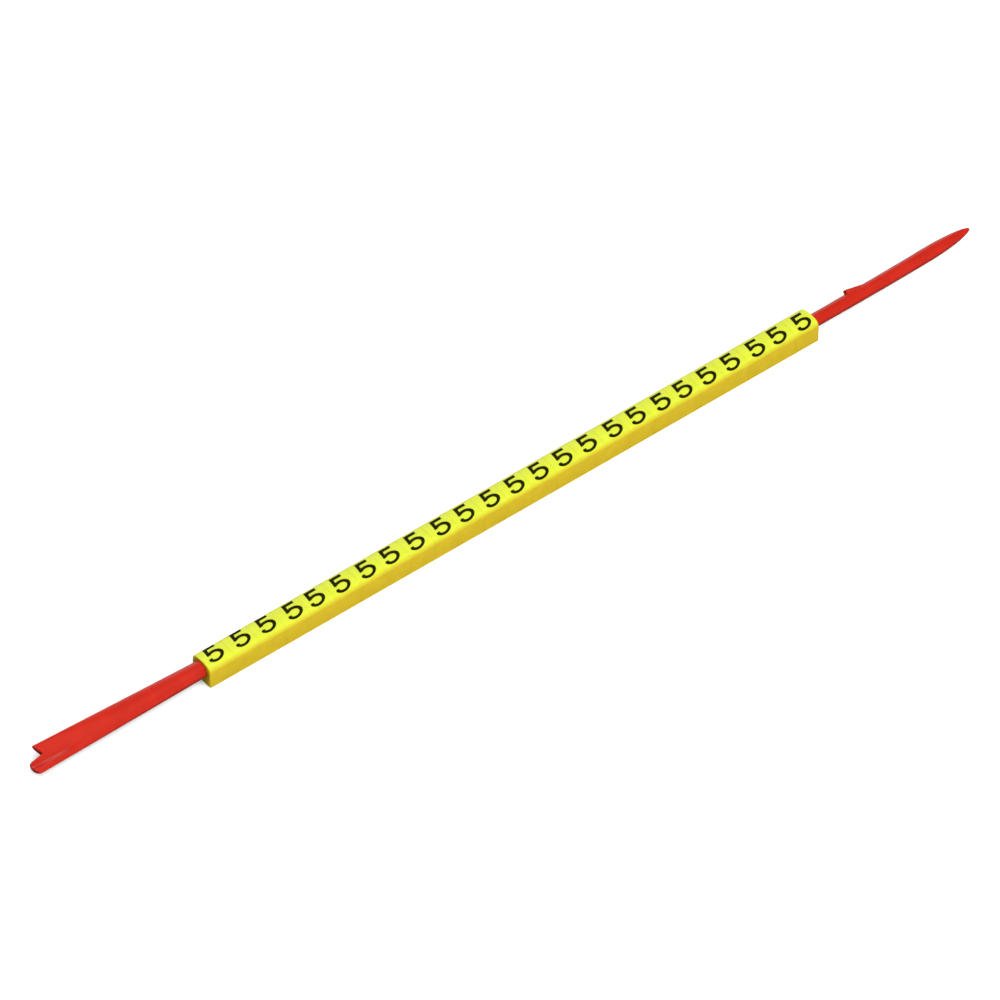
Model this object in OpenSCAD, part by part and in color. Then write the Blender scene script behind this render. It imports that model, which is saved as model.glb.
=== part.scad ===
// A strip of clip-on cable markers, threaded on a pointed carrier stick.
// Millimetres, +Z up. The strip lies on the markers' feet, with the stick along X and its point at +X.
// The origin is at the middle of the strip's length and width, on the plane of the feet.

/* [Markers] */
// Number of markers on the stick
marker_count = 25; // [5:1:30]
// Length that each marker takes along the stick
marker_pitch = 3; // [2:0.1:6]
// Gap between neighbouring markers
marker_gap = 0.02; // [0.02:0.01:0.3]
// Width of a marker across its feet
marker_width = 2.8; // [2.6:0.1:4]
// Height of a marker from its feet to its crown
marker_height = 2.7; // [2.6:0.1:4]
// Radius of the crown, the face that carries the number
crown_radius = 3.2; // [2.4:0.1:6]
// Radius between the crown and the sides
shoulder_radius = 0.75; // [0.4:0.05:1]
// Diameter of the bore that grips the wire
bore_diameter = 2.2; // [2.1:0.05:2.3]
// Height of the bore's axis above the feet
bore_height = 1.35; // [1.3:0.05:1.4]
// Width of the mouth between the lips
mouth_width = 1.2; // [0.8:0.05:1.4]
// Width of the flare at the feet, where the wire is led in
flare_width = 2.3; // [1.6:0.05:2.4]

/* [Stick] */
// Length of the tail, from its end to the first marker
tail_length = 19.8; // [12:0.1:30]
// Length of the nose, from the last marker to its point
nose_length = 20.7; // [14:0.1:30]
// Diameter of the stick where it enters the first marker
stick_diameter = 1.76; // [1.6:0.02:1.8]
// Diameter of the stick where it leaves the last marker
nose_diameter = 1.4; // [1.2:0.02:1.6]
// Diameter of the nose where the taper to its point starts
tip_diameter = 1.48; // [1.2:0.02:1.6]
// How far the stick's axis lies above the bores' axis, at the first marker
stick_lift = 0.18; // [0:0.01:0.2]
// Length of the taper to the point
point_length = 5.6; // [4:0.1:12]
// How far the nose bends up from the stick's axis, at its point
nose_bend = 0.45; // [0:0.05:0.8]

/* [Tail] */
// Width of the tail at its end, across both rims
tail_width = 2.7; // [2.2:0.05:3]
// Depth of the tail below its rims, at its end
tail_depth = 0.7; // [0.6:0.05:0.95]
// Rise of the tail's top above its rims, at its end
tail_crown = 0.25; // [0.1:0.05:0.4]
// Angle by which the tail leans towards its low rim
tail_turn = 35; // [10:1:40]
// Distance from the stick's axis to the middle of the tail's end, towards the high rim
tail_offset = 0.27; // [0:0.01:0.4]
// Length of the groove that parts the low rim from the rest of the tail
groove_length = 7.6; // [4:0.1:12]
// Depth of the groove at the tail's end
groove_depth = 0.6; // [0.3:0.05:0.65]
// Depth of the notch in the tail's end, behind the low rim
notch_depth = 1.6; // [0.5:0.1:3]
// How far the high rim stands back from the low rim's end
rim_setback = 1; // [0:0.1:1.6]
// Length over which the low rim's end is rounded
lip_round = 0.6; // [0.2:0.05:1]

/* [Barb] */
// Distance from the last marker to the barb's catching face
barb_offset = 5; // [2:0.1:6]
// Length of the barb's ramp
barb_length = 4.2; // [1.5:0.1:5]
// Height of the barb above the stick
barb_height = 0.36; // [0.2:0.02:0.5]
// Thickness of the barb around the stick
barb_thickness = 0.6; // [0.4:0.05:0.9]
// Angle of the barb behind the top of the stick
barb_angle = 42; // [0:1:90]

/* [Hidden] */
$fn = 64;
row_length = marker_count * marker_pitch;
total_length = tail_length + row_length + nose_length;
tail_x = -total_length / 2;
row_x = tail_x + tail_length;
row_end_x = row_x + row_length;
point_x = row_end_x + nose_length;
groove_x = tail_x + groove_length;
taper_x = point_x - point_length;
barb_x = row_end_x + barb_offset;
// The stick's lift at the first marker, held to what the bore leaves free
row_lift = min(stick_lift, max(0, (bore_diameter - stick_diameter) / 2 - marker_gap));
// Length of the level top of the barb, before its ramp
barb_land = barb_length / 10;

// Points along each half of the stick's section, and rings along each stretch of the stick
section_steps = 20;
ring_size = 2 * section_steps;
groove_rings = 24;
tail_rings = 6;
nose_rings = 6;
point_rings = 20;
// The round point's radius as a share of the stick's, so that its last ring is a small flat
point_share = 0.04;
// Places across the tail, from -1 at its low rim to 1 at its high one
groove_side = -0.3;
lip_side = -0.66;
notch_side = 0.15;
lip_middle = -0.42;
lip_reach = 0.6;
// Length over which the notch fades out along the tail, and how fast it does
notch_run = 2.5 * notch_depth;
notch_power = 1.5;
// How late the taper rounds in to the point
point_power = 1.95;
// How late the nose bends up
bend_power = 2.5;

function lerp(a, b, t) = a + (b - a) * t;
function clamp01(t) = min(max(t, 0), 1);

// Radius of the plain round stick at x, which narrows along the row and swells again along the nose
function stick_radius(x) =
    (x < row_end_x ? lerp(stick_diameter, nose_diameter, clamp01((x - row_x) / row_length))
        : lerp(nose_diameter, tip_diameter, clamp01((x - row_end_x) / (taper_x - row_end_x)))) / 2;
// Share of the full radius left at x on the way to the point
function point_scale(x) =
    x <= taper_x ? 1 : max(point_share, sqrt(1 - pow((x - taper_x) / point_length, point_power)));
// How far the tail has spread at x, from 0 at the first marker to 1 at the tail's end
function spread_share(x) = clamp01((row_x - x) / tail_length);
// How far the groove has opened at x, from 0 where it starts to 1 at the tail's end
function groove_share(x) = clamp01((groove_x - x) / groove_length);

// Half width of the section at x, its depth below the rims and its rise above them
function half_width(x) =
    lerp(stick_radius(x), tail_width / 2, spread_share(x)) * point_scale(x);
function half_height(x) = lerp(stick_radius(x), tail_depth, spread_share(x)) * point_scale(x);
function crown_rise(x) = lerp(stick_radius(x), tail_crown, spread_share(x)) * point_scale(x);

// Share of the groove's depth at a place across the tail: a long slope from the high rim, then a short one
function groove_form(side) =
    side > groove_side ? (1 - side) / (1 - groove_side)
    : clamp01((side - lip_side) / (groove_side - lip_side));

// How far the tail's end is cut back at a place across it: a rounded lip, the notch, then the high rim
function lip_cut(side) = lip_round * (1 - sqrt(1 - pow((side - lip_middle) / lip_reach, 2)));
function end_cut(side) =
    side > notch_side ? lerp(notch_depth, rim_setback, (side - notch_side) / (1 - notch_side))
    : side > 0 ? lerp(lip_cut(0), notch_depth, side / notch_side)
    : lip_cut(side);
function end_fade(x) = pow(clamp01(1 - (x - tail_x) / notch_run), notch_power);

// Height of the stick's axis at x: it sinks to the bores' axis along the row, and bends up along the nose
function axis_height(x) =
    bore_height
    + row_lift * (1 - clamp01((x - row_x) / row_length))
    + nose_bend * pow(clamp01((x - row_end_x) / nose_length), bend_power);

// Point of the stick's skin at x and at a turn round its section, from the high rim over the underside
function skin_point(x, turn) =
    let (
        side = cos(turn),
        y = half_width(x) * side + tail_offset * spread_share(x),
        z = turn <= 180 ? -half_height(x) * sin(turn)
            : -crown_rise(x) * sin(turn) - groove_depth * groove_share(x) * groove_form(side)
    )
    [
        x,
        y * cos(tail_turn) - z * sin(tail_turn),
        axis_height(x) + y * sin(tail_turn) + z * cos(tail_turn)
    ];
// One ring of the skin that starts at x, where the tail's end is cut back
function ring(x) = [
    for (i = [0 : ring_size - 1])
        let (turn = 180 * i / section_steps)
        skin_point(x + end_cut(cos(turn)) * end_fade(x), turn)
];

// Places of the rings along the stick
ring_places = concat(
    [for (i = [0 : groove_rings]) lerp(tail_x, groove_x, i / groove_rings)],
    [for (i = [1 : tail_rings]) lerp(groove_x, row_x, i / tail_rings)],
    [for (i = [0 : nose_rings - 1]) lerp(row_end_x, taper_x, i / nose_rings)],
    [for (i = [0 : point_rings]) lerp(taper_x, point_x, sin(90 * i / point_rings))]
);

// Closed skin through a list of places
module skin(places) {
    last = len(places) - 1;
    points = [for (x = places) each ring(x)];
    sides = [
        for (k = [0 : last - 1], i = [0 : ring_size - 1])
            let (
                a = k * ring_size + i,
                b = k * ring_size + (i + 1) % ring_size,
                c = a + ring_size,
                d = b + ring_size
            )
            each [[a, b, d], [a, d, c]]
    ];
    tail_cap = [
        for (i = [0 : section_steps - 1])
            let (
                a = i,
                b = i + 1,
                c = (ring_size - i) % ring_size,
                d = ring_size - i - 1
            )
            each (i == 0 ? [[a, d, b]] : i == section_steps - 1 ? [[a, c, b]] : [[a, c, d], [a, d, b]])
    ];
    point_cap = [[for (i = [0 : ring_size - 1]) last * ring_size + i]];
    polyhedron(points, concat(sides, tail_cap, point_cap), convexity = 6);
}

// Tooth on the nose that keeps the markers from sliding off by themselves
module barb() {
    root = nose_diameter / 4;
    crest = nose_diameter / 2 + barb_height;
    translate([barb_x, 0, axis_height(barb_x)])
        rotate([90 - barb_angle, 0, 0])
            translate([0, 0, -barb_thickness / 2])
                linear_extrude(barb_thickness)
                    polygon([[0, root], [0, crest], [barb_land, crest], [barb_length, root]]);
}

module carrier() {
    color([0.87, 0.16, 0.11]) {
        skin(ring_places);
        barb();
    }
}

// Outline of a marker's outside: a domed crown, round shoulders and upright sides
module marker_outline() {
    shoulder_y = marker_width / 2 - shoulder_radius;
    crown_z = marker_height - crown_radius;
    blend = crown_radius - shoulder_radius;
    shoulder_z = crown_z + sqrt(blend * blend - shoulder_y * shoulder_y);
    spread = asin(shoulder_y / blend);
    reach = 2 * crown_radius;
    translate([-marker_width / 2, 0])
        square([marker_width, shoulder_z]);
    for (side = [-1, 1])
        translate([side * shoulder_y, shoulder_z])
            circle(shoulder_radius);
    intersection() {
        translate([0, crown_z])
            circle(crown_radius);
        translate([0, crown_z])
            polygon([[0, 0], for (side = [-1, 1]) [side * reach * sin(spread), reach * cos(spread)]]);
        translate([-marker_width / 2, 0])
            square([marker_width, marker_height]);
    }
}

// The bore and the mouth that leads to it from below
module marker_opening() {
    lip_z = bore_height - sqrt(pow(bore_diameter / 2, 2) - pow(mouth_width / 2, 2));
    translate([0, bore_height])
        circle(d = bore_diameter);
    translate([-mouth_width / 2, 0])
        square([mouth_width, bore_height]);
    polygon([
        [-flare_width / 2, 0],
        [flare_width / 2, 0],
        [mouth_width / 2, lip_z],
        [-mouth_width / 2, lip_z]
    ]);
}

// One marker, counted from the tail
module marker(index) {
    color([0.93, 0.83, 0.13])
        translate([row_x + index * marker_pitch + marker_gap / 2, 0, 0])
            rotate([90, 0, 90])
                linear_extrude(marker_pitch - marker_gap)
                    difference() {
                        marker_outline();
                        marker_opening();
                    }
}

function two_digits(n) = n < 10 ? str("0", n) : str(n);
marker_names = [for (i = [1 : marker_count]) str("marker_", two_digits(i))];

carrier();
for (i = [0 : marker_count - 1])
    marker(i);
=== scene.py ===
"""A strip of yellow cable markers on a red carrier stick: its looks, light and camera.

Metres, +Z up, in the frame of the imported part: the stick lies along X with its point at +X,
and the markers stand on their feet at Z 0. Sections of the object are written as (y, z) pairs.
"""

import math
import random

import bmesh
import bpy
from mathutils import Matrix, Vector


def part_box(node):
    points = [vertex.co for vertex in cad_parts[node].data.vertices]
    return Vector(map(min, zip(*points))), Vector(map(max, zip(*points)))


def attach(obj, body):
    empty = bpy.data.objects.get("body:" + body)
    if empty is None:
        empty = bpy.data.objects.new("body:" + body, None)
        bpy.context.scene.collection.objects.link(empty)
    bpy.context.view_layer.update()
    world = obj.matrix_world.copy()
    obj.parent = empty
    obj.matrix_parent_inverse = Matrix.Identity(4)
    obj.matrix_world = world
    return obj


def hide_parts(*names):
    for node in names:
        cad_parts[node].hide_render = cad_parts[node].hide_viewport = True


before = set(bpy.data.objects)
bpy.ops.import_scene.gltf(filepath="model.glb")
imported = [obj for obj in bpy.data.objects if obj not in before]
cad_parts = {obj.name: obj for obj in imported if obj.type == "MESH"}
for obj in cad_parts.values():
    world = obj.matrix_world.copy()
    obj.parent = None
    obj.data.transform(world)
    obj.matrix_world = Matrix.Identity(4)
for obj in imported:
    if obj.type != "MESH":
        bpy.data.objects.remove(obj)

MM = 0.001
SEED = 29747
UP = math.pi / 2
SMOOTH_ANGLE = math.radians(40)
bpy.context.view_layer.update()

# Places taken from the frame
MARKERS = sorted(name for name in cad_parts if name.startswith("marker_"))
FIRST_LOW, FIRST_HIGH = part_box(MARKERS[0])
LAST_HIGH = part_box(MARKERS[-1])[1]
STICK_LOW, STICK_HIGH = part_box("carrier")
MARKER_WIDTH = FIRST_HIGH.y - FIRST_LOW.y
MARKER_HEIGHT = FIRST_HIGH.z - FIRST_LOW.z
MARKER_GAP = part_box(MARKERS[1])[0].x - FIRST_HIGH.x
ROW_START = FIRST_LOW.x
ROW_END = LAST_HIGH.x
ROW_LENGTH = ROW_END - ROW_START
TAIL_X = STICK_LOW.x
POINT_X = STICK_HIGH.x
TAIL_LENGTH = ROW_START - TAIL_X

# The marker's section
CROWN_RADIUS = 3.2 * MM
SHOULDER_RADIUS = 0.75 * MM
BORE_RADIUS = 1.1 * MM
BORE_HEIGHT = 1.35 * MM
MOUTH_WIDTH = 1.2 * MM
FLARE_WIDTH = 2.3 * MM
FOOT_ROUND = 0.08 * MM
LIP_ROUND = 0.06 * MM
CORNER_STEPS = 5
SHOULDER_STEPS = 12
CROWN_STEPS = 24
BORE_STEPS = 48

# The crown's arc spans CROWN_SPREAD to each side of the middle and runs on into the shoulders' arcs
HALF_WIDTH = MARKER_WIDTH / 2
SHOULDER_Y = HALF_WIDTH - SHOULDER_RADIUS
CROWN_Z = MARKER_HEIGHT - CROWN_RADIUS
CROWN_BLEND = CROWN_RADIUS - SHOULDER_RADIUS
CROWN_SPREAD = math.asin(SHOULDER_Y / CROWN_BLEND)
SHOULDER_Z = CROWN_Z + math.sqrt(CROWN_BLEND ** 2 - SHOULDER_Y ** 2)

# The lip where the bore meets the mouth: the bore's arc stops a little before it, and the lip's
# rounding is set between the mouth's wall and a place inside the bore
LIP_Z = BORE_HEIGHT - math.sqrt(BORE_RADIUS ** 2 - (MOUTH_WIDTH / 2) ** 2)
LIP_ANGLE = math.asin((BORE_HEIGHT - LIP_Z) / BORE_RADIUS)
BORE_END_ANGLE = LIP_ANGLE * 0.85
INSIDE_Y = BORE_RADIUS * math.cos(LIP_ANGLE * 0.7)
INSIDE_Z = BORE_HEIGHT - BORE_RADIUS * 0.75

# A marker's ends: neighbours come END_GAP apart, nearer than the solids, and are rounded a little;
# the two outer ends of the row are rounded more
END_ROUND = 0.012 * MM
END_GAP = 0.004 * MM
ROW_END_ROUND = 0.12 * MM
END_STEPS = 5

# The carrier stick
STICK_DIAMETER = 1.76 * MM
STICK_LIFT = 0.18 * MM
NOSE_DIAMETER = 1.4 * MM
TIP_DIAMETER = 1.48 * MM
NOSE_BEND = 0.45 * MM
BEND_POWER = 2.5
POINT_LENGTH = 5.6 * MM
POINT_POWER = 1.95
POINT_SHARE = 0.04
STICK_END_ROUND = 0.08 * MM
STICK_END_STEPS = 4

# Steps along the stick: the groove, the rest of the tail, the row, the nose and the point
GROOVE_STEPS = 70
TAIL_STEPS = 12
ROW_STEPS = 20
NOSE_STEPS = 10
POINT_STEPS = 40

# The stick's tail, with places across it from -1 at the low rim to 1 at the high one
TAIL_WIDTH = 2.7 * MM
TAIL_DEPTH = 0.7 * MM
TAIL_CROWN = 0.25 * MM
TAIL_TURN = math.radians(35)
TAIL_OFFSET = 0.27 * MM
GROOVE_LENGTH = 7.6 * MM
GROOVE_DEPTH = 0.6 * MM
GROOVE_SIDE = -0.3
GROOVE_SOFTNESS = 0.05
LIP_SIDE = -0.66
LIP_MIDDLE = -0.42
LIP_REACH = 0.6
LIP_END_ROUND = 0.6 * MM
NOTCH_DEPTH = 1.6 * MM
NOTCH_SIDE = 0.15
NOTCH_SOFTNESS = 0.03
NOTCH_RUN = 2.5 * NOTCH_DEPTH
NOTCH_POWER = 1.5
RIM_SETBACK = 1.0 * MM
SOFTEN_STEPS = 6

# The stick's barb
BARB_OFFSET = 5.0 * MM
BARB_LENGTH = 4.2 * MM
BARB_LAND = BARB_LENGTH / 10
BARB_HEIGHT = 0.36 * MM
BARB_THICKNESS = 0.6 * MM
BARB_ANGLE = math.radians(42)
BARB_ROUND = 0.05 * MM
BARB_ROUND_STEPS = 3

# The printed number, set along the crown's face; the first few are printed nearer the back, and
# over the whole row the numbers drift a little towards the front
DIGIT_HEIGHT = 2.11 * MM
DIGIT_WIDTH = 1.78 * MM
DIGIT_LEAN = 0.17
DIGIT_LEFT = -0.68 * MM
DIGIT_BOTTOM = -1.17 * MM
DIGIT_LIFT = 0.004 * MM
DIGIT_SHIFT_X = 0.22 * MM
DIGIT_SHIFT_Y = 0.03 * MM
DIGIT_SET_BACK = (0.24 * MM, 0.22 * MM, 0.14 * MM)
DIGIT_DRIFT = 0.13 * MM
DIGIT_BOWL_STEPS = 40
DIGIT_BANDS = 40

# What the plastics share: the noise values between which their mottle changes colour, the detail of
# the mottle's noise and of the grain's, and the grain's depth
MOTTLE_RANGE = (0.3, 0.7)
MOTTLE_DETAIL = 4.0
GRAIN_DETAIL = 2.0
GRAIN_DEPTH = 0.02 * MM

# Floor and surroundings
FLOOR_SIZE = 4.0
FLOOR_CUTS = 8
WHITE = (1.0, 1.0, 1.0)
SURROUND_STRENGTH = 0.5

# The camera: angles in degrees, distances in metres, the sensor's width in mm, and in pixels the
# image's size and the place where the strip's middle falls
CAMERA_AZIMUTH = -38.95
CAMERA_ELEVATION = 45.0
CAMERA_DISTANCE = 0.805
PIXELS_PER_MM = 10.411
IMAGE_SIZE = 1000
IMAGE_CENTRE = (515.5, 500.9)
SENSOR = 36.0
CLIP_START = 0.01


def lerp(a, b, share):
    return a + (b - a) * share


def spaced(start, end, steps):
    """Evenly spaced values from start to end, both included."""
    return [lerp(start, end, i / steps) for i in range(steps + 1)]


def clamp01(value):
    return min(max(value, 0.0), 1.0)


def arc(centre, radius, start, end, steps):
    """Points on a circle of the (y, z) plane, from the start angle to the end angle, in radians."""
    points = []
    for angle in spaced(start, end, steps):
        y = centre[0] + radius * math.cos(angle)
        z = centre[1] + radius * math.sin(angle)
        points.append(Vector((y, z)))
    return points


def rounded_corner(before, corner, after, radius):
    """An arc of that radius in place of a corner between two straight stretches."""
    to_before = (before - corner).normalized()
    to_after = (after - corner).normalized()
    half = to_before.angle(to_after) / 2
    reach = radius / math.tan(half)
    centre = corner + (to_before + to_after).normalized() * (radius / math.sin(half))
    first = corner + to_before * reach - centre
    last = corner + to_after * reach - centre
    sweep = first.angle_signed(last)
    return [centre + Matrix.Rotation(turn, 2) @ first for turn in spaced(0, -sweep, CORNER_STEPS)]


def inward_normals(outline):
    """For each point of a closed clockwise outline, the direction into the material."""
    count = len(outline)
    normals = []
    for i in range(count):
        along = (outline[(i + 1) % count] - outline[i - 1]).normalized()
        normals.append(Vector((along.y, -along.x)))
    return normals


def end_stations(radius, steps):
    """How far in from an end, and how far below the faces, the rings of a rounded end lie."""
    stations = []
    for angle in spaced(UP, 0, steps):
        stations.append((radius * (1 - math.sin(angle)), radius * (1 - math.cos(angle))))
    return stations


def skin(bm, rings):
    """Faces between each closed ring of vertices and the next."""
    count = len(rings[0])
    for first, second in zip(rings, rings[1:]):
        for i in range(count):
            j = (i + 1) % count
            bm.faces.new((first[i], first[j], second[j], second[i]))


def smooth(mesh):
    """Smooth shading, apart from edges sharper than SMOOTH_ANGLE."""
    mesh.shade_smooth()
    mesh.set_sharp_from_angle(angle=SMOOTH_ANGLE)


def mesh_from(name, bm):
    """A smooth mesh from bm, which is freed."""
    bmesh.ops.recalc_face_normals(bm, faces=bm.faces)
    mesh = bpy.data.meshes.new(name)
    bm.to_mesh(mesh)
    bm.free()
    smooth(mesh)
    return mesh


def new_object(name, data):
    piece = bpy.data.objects.new(name, data)
    bpy.context.scene.collection.objects.link(piece)
    return piece


# Materials

def new_material(name):
    """A new material, its node tree and the shader in it."""
    material = bpy.data.materials.new(name)
    material.use_nodes = True
    shader = material.node_tree.nodes["Principled BSDF"]
    return material, material.node_tree, shader


def noise(tree, scale, detail=3.0):
    """A noise texture in the object's own coordinates, with scale in cycles a metre."""
    place = tree.nodes.new("ShaderNodeTexCoord")
    texture = tree.nodes.new("ShaderNodeTexNoise")
    texture.inputs["Scale"].default_value = scale
    texture.inputs["Detail"].default_value = detail
    tree.links.new(place.outputs["Object"], texture.inputs["Vector"])
    return texture.outputs["Fac"]


def ramp(tree, value, places, colours):
    """A colour by a value: the first colour up to the first place, the second from the second on."""
    node = tree.nodes.new("ShaderNodeValToRGB")
    for element, place, colour in zip(node.color_ramp.elements, places, colours):
        element.position = place
        element.color = (*colour, 1.0)
    tree.links.new(value, node.inputs["Fac"])
    return node.outputs["Color"]


def mapped(tree, value, low, high):
    """A value from 0 to 1, spread from low to high."""
    node = tree.nodes.new("ShaderNodeMapRange")
    node.inputs["To Min"].default_value = low
    node.inputs["To Max"].default_value = high
    tree.links.new(value, node.inputs["Value"])
    return node.outputs["Result"]


def upward(tree, low, high):
    """How far a face looks up, the mask for the painted light and shade: 0 where its normal's height is
    below low, 1 where it is above high.
    """
    geometry = tree.nodes.new("ShaderNodeNewGeometry")
    split = tree.nodes.new("ShaderNodeSeparateXYZ")
    tree.links.new(geometry.outputs["True Normal"], split.inputs["Vector"])
    node = tree.nodes.new("ShaderNodeMapRange")
    node.inputs["From Min"].default_value = low
    node.inputs["From Max"].default_value = high
    tree.links.new(split.outputs["Z"], node.inputs["Value"])
    return node.outputs["Result"]


def mixed(tree, share, first, second):
    """A colour between two others: the first where the share is 0, the second where it is 1."""
    node = tree.nodes.new("ShaderNodeMix")
    node.data_type = "RGBA"
    tree.links.new(share, node.inputs["Factor"])
    tree.links.new(first, node.inputs["A"])
    tree.links.new(second, node.inputs["B"])
    return node.outputs["Result"]


def bump(tree, height, strength, distance):
    node = tree.nodes.new("ShaderNodeBump")
    node.inputs["Strength"].default_value = strength
    node.inputs["Distance"].default_value = distance
    tree.links.new(height, node.inputs["Height"])
    return node.outputs["Normal"]


def plastic(
    name, facing, shaded_colours, lit_colours, mottle_scale, gloss_scale, roughness, grain_scale,
    grain_strength, subsurface, subsurface_radii, subsurface_scale, specular,
):
    """Moulded plastic with a faint mottle, an uneven gloss and a fine grain.

    The colour goes from the shaded colours, painted shade, to the lit colours, painted light, while
    the height of a face's normal goes from the first value of facing to the second.
    """
    material, tree, shader = new_material(name)
    mottle = noise(tree, mottle_scale, MOTTLE_DETAIL)
    low = ramp(tree, mottle, MOTTLE_RANGE, shaded_colours)
    high = ramp(tree, mottle, MOTTLE_RANGE, lit_colours)
    # Painted light and shade: faces that look up take the lit colours, faces that look aside or down the
    # shaded ones
    colour = mixed(tree, upward(tree, *facing), low, high)
    tree.links.new(colour, shader.inputs["Base Color"])
    gloss = mapped(tree, noise(tree, gloss_scale), *roughness)
    tree.links.new(gloss, shader.inputs["Roughness"])
    grain = bump(tree, noise(tree, grain_scale, GRAIN_DETAIL), grain_strength, GRAIN_DEPTH)
    tree.links.new(grain, shader.inputs["Normal"])
    shader.inputs["Subsurface Weight"].default_value = subsurface
    shader.inputs["Subsurface Radius"].default_value = subsurface_radii
    shader.inputs["Subsurface Scale"].default_value = subsurface_scale
    shader.inputs["Specular IOR Level"].default_value = specular
    return material


def yellow_plastic():
    """Soft satin marker plastic with painted light and shade: lemon on the crowns as painted light,
    deeper golden on the sides as painted shade.
    """
    return plastic(
        "marker_yellow",
        facing=(0.15, 0.85),
        # Painted shade on the sides, painted light on the crowns
        shaded_colours=((0.39, 0.27, 0.005), (0.42, 0.295, 0.007)),
        lit_colours=((0.46, 0.495, 0.026), (0.49, 0.525, 0.032)),
        mottle_scale=900.0,
        gloss_scale=2500.0,
        roughness=(0.34, 0.46),
        grain_scale=9000.0,
        grain_strength=0.12,
        subsurface=0.3,
        subsurface_radii=(1.0, 0.5, 0.06),
        subsurface_scale=0.6 * MM,
        specular=0.25,
    )


def red_plastic():
    """Smooth, polished carrier plastic: red above, and darker underneath as painted shade."""
    return plastic(
        "carrier_red",
        facing=(-0.65, 0.3),
        # Painted shade on the faces that look down
        shaded_colours=((0.13, 0.005, 0.002), (0.15, 0.007, 0.003)),
        lit_colours=((0.34, 0.009, 0.003), (0.39, 0.012, 0.004)),
        mottle_scale=600.0,
        gloss_scale=1800.0,
        roughness=(0.24, 0.36),
        grain_scale=3500.0,
        grain_strength=0.08,
        subsurface=0.1,
        subsurface_radii=(0.8, 0.08, 0.05),
        subsurface_scale=0.4 * MM,
        specular=0.45,
    )


def black_ink():
    """Printed ink: nearly black, uneven in density, with a dull face."""
    material, tree, shader = new_material("black_ink")
    density = noise(tree, scale=4000.0)
    inks = ((0.007, 0.006, 0.0004), (0.016, 0.014, 0.001))
    colour = ramp(tree, density, places=(0.3, 0.75), colours=inks)
    tree.links.new(colour, shader.inputs["Base Color"])
    tree.links.new(mapped(tree, density, low=0.5, high=0.7), shader.inputs["Roughness"])
    shader.inputs["Specular IOR Level"].default_value = 0.03
    return material


def floor_paper():
    """Plain pale floor with the least unevenness."""
    material, tree, shader = new_material("floor_paper")
    cloud = noise(tree, scale=6.0)
    papers = ((0.9, 0.9, 0.9), (0.93, 0.93, 0.93))
    colour = ramp(tree, cloud, places=(0.2, 0.8), colours=papers)
    tree.links.new(colour, shader.inputs["Base Color"])
    shader.inputs["Roughness"].default_value = 0.9
    return material


# Markers

def foot(side):
    """The foot on one side, from the wall's outside to the bore's lip; side is 1 or -1."""
    wall = Vector((side * HALF_WIDTH, SHOULDER_Z))
    heel = Vector((side * HALF_WIDTH, 0))
    toe = Vector((side * FLARE_WIDTH / 2, 0))
    lip = Vector((side * MOUTH_WIDTH / 2, LIP_Z))
    inside = Vector((side * INSIDE_Y, INSIDE_Z))
    return (
        rounded_corner(wall, heel, toe, FOOT_ROUND)
        + rounded_corner(heel, toe, lip, FOOT_ROUND / 2)
        + rounded_corner(toe, lip, inside, LIP_ROUND)
    )


def marker_outline():
    """The closed section of a marker: shoulders, crown, sides, feet, and the bore with its mouth."""
    left = UP + CROWN_SPREAD
    right = UP - CROWN_SPREAD
    crown = arc((-SHOULDER_Y, SHOULDER_Z), SHOULDER_RADIUS, math.pi, left, SHOULDER_STEPS)
    crown += arc((0, CROWN_Z), CROWN_RADIUS, left, right, CROWN_STEPS)[1:-1]
    crown += arc((SHOULDER_Y, SHOULDER_Z), SHOULDER_RADIUS, right, 0, SHOULDER_STEPS)
    bore = arc((0, BORE_HEIGHT), BORE_RADIUS, -BORE_END_ANGLE, math.pi + BORE_END_ANGLE, BORE_STEPS)
    return crown + foot(1) + bore + foot(-1)[::-1]


def build_marker(name, outline, normals):
    """One marker with its two ends rounded over, the outer ends of the row more than the others."""
    low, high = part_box(name)
    reach = (MARKER_GAP - END_GAP) / 2
    start_x = low.x - reach
    end_x = high.x + reach
    start_round = END_ROUND
    end_round = END_ROUND
    if name == MARKERS[0]:
        start_x = low.x
        start_round = ROW_END_ROUND
    if name == MARKERS[-1]:
        end_x = high.x
        end_round = ROW_END_ROUND
    stations = [(start_x + depth, inset) for depth, inset in end_stations(start_round, END_STEPS)]
    finish = [(end_x - depth, inset) for depth, inset in end_stations(end_round, END_STEPS)]
    stations += finish[::-1]
    bm = bmesh.new()
    rings = []
    for x, inset in stations:
        points = [p + n * inset for p, n in zip(outline, normals)]
        rings.append([bm.verts.new((x, p.x, p.y)) for p in points])
    skin(bm, rings)
    ends = [bm.faces.new(rings[0]), bm.faces.new(rings[-1])]
    for end in ends:
        end.normal_update()
    bmesh.ops.triangulate(bm, faces=ends, ngon_method="EAR_CLIP")
    piece = new_object("shell_" + name, mesh_from("shell_" + name, bm))
    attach(piece, "root")
    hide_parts(name)
    return piece


# The printed number

def bowl(middle, radii, start, end):
    """Points on an ellipse given as shares of the digit's size, between two angles in degrees."""
    points = []
    for angle in spaced(start, end, DIGIT_BOWL_STEPS):
        turn = math.radians(angle)
        points.append((middle[0] + radii[0] * math.cos(turn), middle[1] + radii[1] * math.sin(turn)))
    return points


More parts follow.
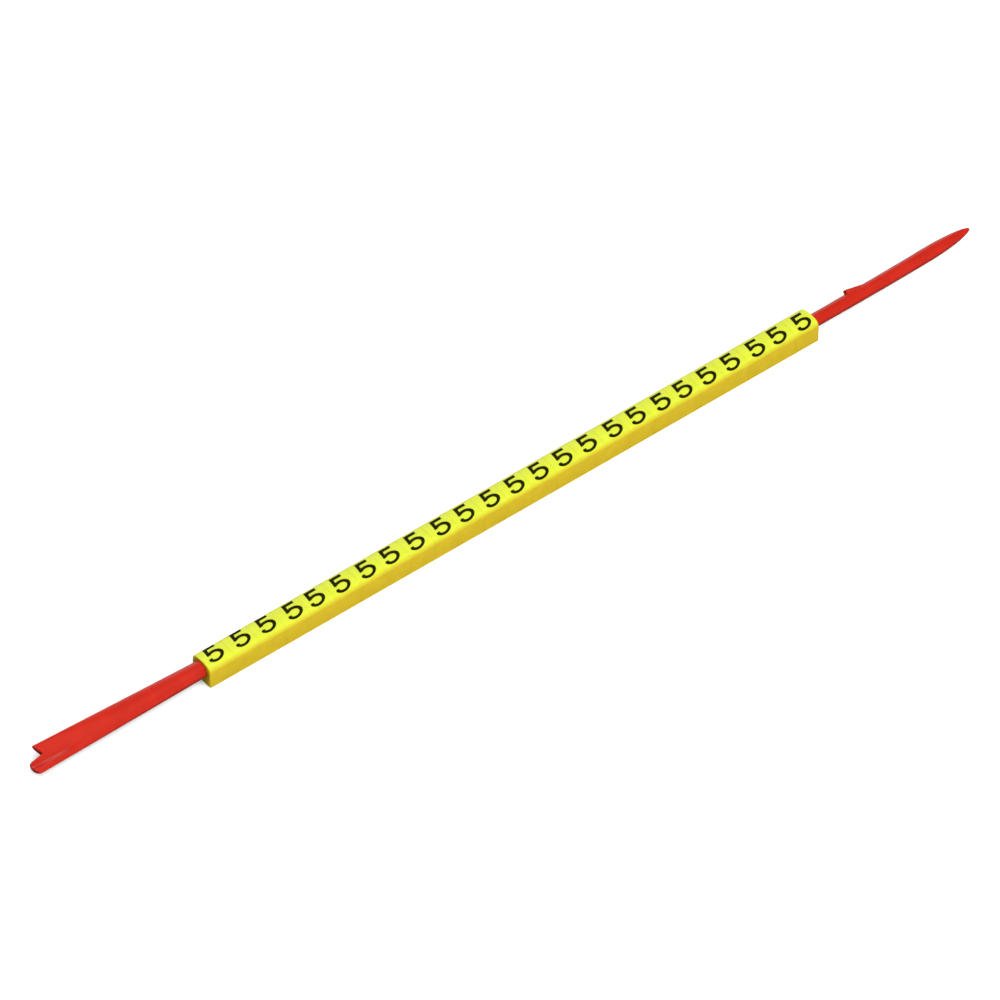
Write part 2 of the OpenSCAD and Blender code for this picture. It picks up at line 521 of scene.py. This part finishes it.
def digit_outline():
    """The closed outline of a plain 5 on a flat face, with its lower left corner at the origin.

    Places in it are given as shares of the digit's width and height.
    """
    size = Vector((DIGIT_WIDTH, DIGIT_HEIGHT))
    stem_left = 0.025
    stem_right = 0.245
    stem_low = 0.41
    bar_right = 0.772
    bar_low = 0.806
    end_high = 0.26
    end_low = 0.225
    end_left = 0.034
    end_right = 0.2
    end_inner = 0.235
    shares = [(stem_left, 1.0), (bar_right, 1.0), (bar_right, bar_low), (stem_right, bar_low)]
    shares += bowl(middle=(0.455, 0.323), radii=(0.545, 0.323), start=115, end=-147)
    shares += [(0.0, end_low), (end_left, end_high), (end_right, end_high), (end_inner, end_low)]
    shares += bowl(middle=(0.455, 0.306), radii=(0.322, 0.18), start=-135, end=140)
    shares.append((stem_left, stem_low))
    return [size * Vector(share) for share in shares]


def crown_place(along):
    """The (y, z) place just above a marker's face, at a distance along the face from its middle."""
    centre = Vector((0, CROWN_Z))
    radius = CROWN_RADIUS
    angle = abs(along) / CROWN_RADIUS
    if angle > CROWN_SPREAD:
        centre = Vector((SHOULDER_Y, SHOULDER_Z))
        radius = SHOULDER_RADIUS
        angle = CROWN_SPREAD + (abs(along) - CROWN_RADIUS * CROWN_SPREAD) / SHOULDER_RADIUS
    place = centre + (radius + DIGIT_LIFT) * Vector((math.sin(angle), math.cos(angle)))
    return math.copysign(place.x, along), place.y


def build_digits():
    """All the printed numbers as one thin skin of ink that follows the crowns."""
    draw = random.Random(SEED)
    shifts = [draw.uniform(-1, 1) * DIGIT_SHIFT_X for name in MARKERS]
    outline = digit_outline()
    bm = bmesh.new()
    for i, name in enumerate(MARKERS):
        low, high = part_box(name)
        start_x = (low.x + high.x) / 2 + DIGIT_LEFT + shifts[i]
        start_y = DIGIT_BOTTOM + draw.uniform(-1, 1) * DIGIT_SHIFT_Y
        start_y -= DIGIT_DRIFT * i / (len(MARKERS) - 1)
        if i < len(DIGIT_SET_BACK):
            start_y += DIGIT_SET_BACK[i]
        flat = []
        for p in outline:
            lean = DIGIT_LEAN * (DIGIT_BOTTOM + p.y)
            flat.append(bm.verts.new((start_x + p.x + lean, start_y + p.y, 0)))
        face = bm.faces.new(flat)
        face.normal_update()
        bmesh.ops.triangulate(bm, faces=[face], ngon_method="EAR_CLIP")
    low_y = min(vertex.co.y for vertex in bm.verts)
    high_y = max(vertex.co.y for vertex in bm.verts)
    for y in spaced(low_y, high_y, DIGIT_BANDS)[1:-1]:
        geometry = bm.verts[:] + bm.edges[:] + bm.faces[:]
        bmesh.ops.bisect_plane(bm, geom=geometry, plane_co=(0, y, 0), plane_no=(0, 1, 0))
    bm.normal_update()
    for face in bm.faces:
        if face.normal.z < 0:
            face.normal_flip()
    for vertex in bm.verts:
        vertex.co.y, vertex.co.z = crown_place(vertex.co.y)
    mesh = bpy.data.meshes.new("printed_numbers")
    bm.to_mesh(mesh)
    bm.free()
    mesh.shade_smooth()
    piece = new_object("printed_numbers", mesh)
    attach(piece, "root")
    return piece


# The carrier stick

def stick_radius(x):
    """Radius of the round stick at x, which narrows along the row and swells again along the nose."""
    if x < ROW_END:
        return lerp(STICK_DIAMETER, NOSE_DIAMETER, clamp01((x - ROW_START) / ROW_LENGTH)) / 2
    nose_length = POINT_X - POINT_LENGTH - ROW_END
    return lerp(NOSE_DIAMETER, TIP_DIAMETER, clamp01((x - ROW_END) / nose_length)) / 2


def point_scale(x):
    """Share of the full radius left at x on the way to the point."""
    run = clamp01((x - (POINT_X - POINT_LENGTH)) / POINT_LENGTH)
    return max(POINT_SHARE, math.sqrt(1 - run ** POINT_POWER))


def softened(form, side, softness):
    """A form across the tail, averaged over a narrow strip so that its corners are rounded."""
    places = [side + softness * offset for offset in spaced(-1, 1, SOFTEN_STEPS)]
    return sum(form(min(max(place, -1.0), 1.0)) for place in places) / len(places)


def groove_form(side):
    """Share of the groove's depth: a long slope from the high rim, then a short one up to the lip."""
    if side > GROOVE_SIDE:
        return (1 - side) / (1 - GROOVE_SIDE)
    return clamp01((side - LIP_SIDE) / (GROOVE_SIDE - LIP_SIDE))


def lip_cut(side):
    """How far the rounded lip is cut back."""
    return LIP_END_ROUND * (1 - math.sqrt(1 - ((side - LIP_MIDDLE) / LIP_REACH) ** 2))


def end_cut(side):
    """How far the tail's end is cut back: a rounded lip, the notch, then the high rim."""
    if side > NOTCH_SIDE:
        return lerp(NOTCH_DEPTH, RIM_SETBACK, (side - NOTCH_SIDE) / (1 - NOTCH_SIDE))
    if side > 0:
        return lerp(lip_cut(0), NOTCH_DEPTH, side / NOTCH_SIDE)
    return lip_cut(side)


# What is the same in every section of the stick, point by point around it
SECTION_STEPS = 60
SECTION_TURNS = [math.pi * i / SECTION_STEPS for i in range(2 * SECTION_STEPS)]
SECTION_SIDES = [math.cos(turn) for turn in SECTION_TURNS]
GROOVE_FORMS = [softened(groove_form, side, GROOVE_SOFTNESS) for side in SECTION_SIDES]
END_CUTS = [softened(end_cut, side, NOTCH_SOFTNESS) for side in SECTION_SIDES]


def axis_height(x):
    """Height of the stick's axis at x: it sinks to the bores' axis along the row, then bends up."""
    lift = STICK_LIFT * (1 - clamp01((x - ROW_START) / ROW_LENGTH))
    bend = NOSE_BEND * clamp01((x - ROW_END) / (POINT_X - ROW_END)) ** BEND_POWER
    return BORE_HEIGHT + lift + bend


def skin_point(x, i):
    """Place of point i of the section at x from the stick's axis, before the tail leans."""
    scale = point_scale(x)
    spread = clamp01((ROW_START - x) / TAIL_LENGTH)
    half_width = lerp(stick_radius(x), TAIL_WIDTH / 2, spread) * scale
    y = half_width * SECTION_SIDES[i] + TAIL_OFFSET * spread
    rim_share = math.sin(SECTION_TURNS[i])
    if i <= SECTION_STEPS:
        depth = lerp(stick_radius(x), TAIL_DEPTH, spread) * scale
        return Vector((y, -depth * rim_share))
    rise = lerp(stick_radius(x), TAIL_CROWN, spread) * scale
    groove = GROOVE_DEPTH * clamp01((TAIL_X + GROOVE_LENGTH - x) / GROOVE_LENGTH)
    return Vector((y, -rise * rim_share - groove * GROOVE_FORMS[i]))


def stick_ring(x, inset):
    """A ring that starts at x: the underside from the high rim to the low one, then the top back."""
    fade = clamp01(1 - (x - TAIL_X) / NOTCH_RUN) ** NOTCH_POWER
    places = [x + cut * fade for cut in END_CUTS]
    section = [skin_point(place, i) for i, place in enumerate(places)]
    if inset:
        section = [p + n * inset for p, n in zip(section, inward_normals(section))]
    lean = Matrix.Rotation(TAIL_TURN, 2)
    ring = []
    for place, p in zip(places, section):
        leaned = lean @ p
        ring.append((place, leaned.x, axis_height(place) + leaned.y))
    return ring


def stick_stations():
    """Places of the rings along the stick with their insets, close together where its form changes."""
    start = TAIL_X + STICK_END_ROUND
    groove_end = TAIL_X + GROOVE_LENGTH
    taper = POINT_X - POINT_LENGTH
    end_rings = end_stations(STICK_END_ROUND, STICK_END_STEPS)[:-1]
    rounding = [(TAIL_X + depth, inset) for depth, inset in end_rings]
    places = spaced(start, groove_end, GROOVE_STEPS)
    places += spaced(groove_end, ROW_START, TAIL_STEPS)[1:]
    places += spaced(ROW_START, ROW_END, ROW_STEPS)[1:]
    places += spaced(ROW_END, taper, NOSE_STEPS)[1:-1]
    places += [lerp(taper, POINT_X, math.sin(turn)) for turn in spaced(0, UP, POINT_STEPS)]
    return rounding + [(x, 0.0) for x in places]


def stick_mesh():
    """The stick's skin through all its rings, closed at the tail and at the point."""
    bm = bmesh.new()
    rings = [[bm.verts.new(p) for p in stick_ring(x, inset)] for x, inset in stick_stations()]
    skin(bm, rings)
    tail = rings[0]
    count = len(tail)
    for i in range(SECTION_STEPS):
        corners = [tail[i], tail[i + 1], tail[(count - i - 1) % count], tail[(count - i) % count]]
        bm.faces.new(list(dict.fromkeys(corners)))
    bm.faces.new(rings[-1])
    return mesh_from("stick", bm)


def barb_mesh():
    """The tooth on the nose: a short level crest with an upright catching face and a long ramp."""
    root = NOSE_DIAMETER / 4
    crest = NOSE_DIAMETER / 2 + BARB_HEIGHT
    side = [(0, root), (0, crest), (BARB_LAND, crest), (BARB_LENGTH, root)]
    bm = bmesh.new()
    turn = Matrix.Rotation(UP - BARB_ANGLE, 3, "X")
    start_x = ROW_END + BARB_OFFSET
    start = Vector((start_x, 0, axis_height(start_x)))
    faces = []
    for level in (-BARB_THICKNESS / 2, BARB_THICKNESS / 2):
        faces.append([bm.verts.new(start + turn @ Vector((x, y, level))) for x, y in side])
    bm.faces.new(faces[0])
    bm.faces.new(faces[1])
    skin(bm, faces)
    bmesh.ops.recalc_face_normals(bm, faces=bm.faces)
    edges = bm.edges[:]
    bmesh.ops.bevel(
        bm, geom=edges, offset=BARB_ROUND, segments=BARB_ROUND_STEPS, affect="EDGES", profile=0.5
    )
    return mesh_from("barb", bm)


def build_stick():
    """The stick with its barb, joined into one closed mesh."""
    piece = new_object("stick", stick_mesh())
    barb = new_object("barb", barb_mesh())
    join = piece.modifiers.new("join", "BOOLEAN")
    join.operation = "UNION"
    join.solver = "EXACT"
    join.object = barb
    graph = bpy.context.evaluated_depsgraph_get()
    joined = bpy.data.meshes.new_from_object(piece.evaluated_get(graph))
    piece.modifiers.clear()
    piece.data = joined
    bpy.data.objects.remove(barb)
    smooth(joined)
    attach(piece, "root")
    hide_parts("carrier")
    return piece


# Floor, light and camera

def build_floor(material):
    """A plain floor that is kept out of reflections, so that the plastics stay deep in colour."""
    bpy.ops.mesh.primitive_grid_add(x_subdivisions=FLOOR_CUTS, y_subdivisions=FLOOR_CUTS, size=FLOOR_SIZE)
    floor = bpy.context.object
    floor.name = "floor"
    floor.data.materials.append(material)
    floor.visible_glossy = False


def area_light(name, place, size, power, colour):
    """A square soft light that faces the middle of the strip."""
    data = bpy.data.lights.new(name, "AREA")
    data.size = size
    data.energy = power
    data.color = colour
    light = new_object(name, data)
    light.location = place
    light.rotation_euler = (-Vector(place)).to_track_quat("-Z", "Y").to_euler()
    return light


def build_light():
    """Pale surroundings and a wide key light, both kept out of reflections, and two lights behind."""
    world = bpy.data.worlds.new("studio")
    bpy.context.scene.world = world
    world.use_nodes = True
    background = world.node_tree.nodes["Background"]
    background.inputs["Color"].default_value = (*WHITE, 1.0)
    background.inputs["Strength"].default_value = SURROUND_STRENGTH
    world.cycles_visibility.glossy = False
    key = area_light("key", place=(-0.05, -0.55, 0.65), size=0.9, power=13.5, colour=(0.95, 1.0, 0.97))
    key.visible_glossy = False
    area_light("rim", place=(0.0, 0.4, 0.6), size=0.2, power=1.6, colour=WHITE)
    area_light("card", place=(0.4, 0.8, 0.25), size=0.5, power=1.2, colour=WHITE)


def build_camera():
    """The photograph's view: the strip's middle falls on IMAGE_CENTRE, at PIXELS_PER_MM."""
    azimuth = math.radians(CAMERA_AZIMUTH)
    elevation = math.radians(CAMERA_ELEVATION)
    look = Vector((
        -math.sin(azimuth) * math.cos(elevation),
        math.cos(azimuth) * math.cos(elevation),
        -math.sin(elevation),
    ))
    data = bpy.data.cameras.new("camera")
    data.sensor_width = SENSOR
    data.lens = PIXELS_PER_MM / MM * CAMERA_DISTANCE / IMAGE_SIZE * SENSOR
    data.shift_x = -(IMAGE_CENTRE[0] - IMAGE_SIZE / 2) / IMAGE_SIZE
    data.shift_y = (IMAGE_CENTRE[1] - IMAGE_SIZE / 2) / IMAGE_SIZE
    data.clip_start = CLIP_START
    camera = new_object("camera", data)
    camera.location = -look * CAMERA_DISTANCE
    camera.rotation_euler = look.to_track_quat("-Z", "Y").to_euler()
    bpy.context.scene.camera = camera


def main():
    yellow = yellow_plastic()
    red = red_plastic()
    ink = black_ink()
    outline = marker_outline()
    normals = inward_normals(outline)
    for name in MARKERS:
        build_marker(name, outline, normals).data.materials.append(yellow)
    build_digits().data.materials.append(ink)
    build_stick().data.materials.append(red)
    build_floor(floor_paper())
    build_light()
    build_camera()
    bpy.context.scene.view_settings.view_transform = "Standard"


main()
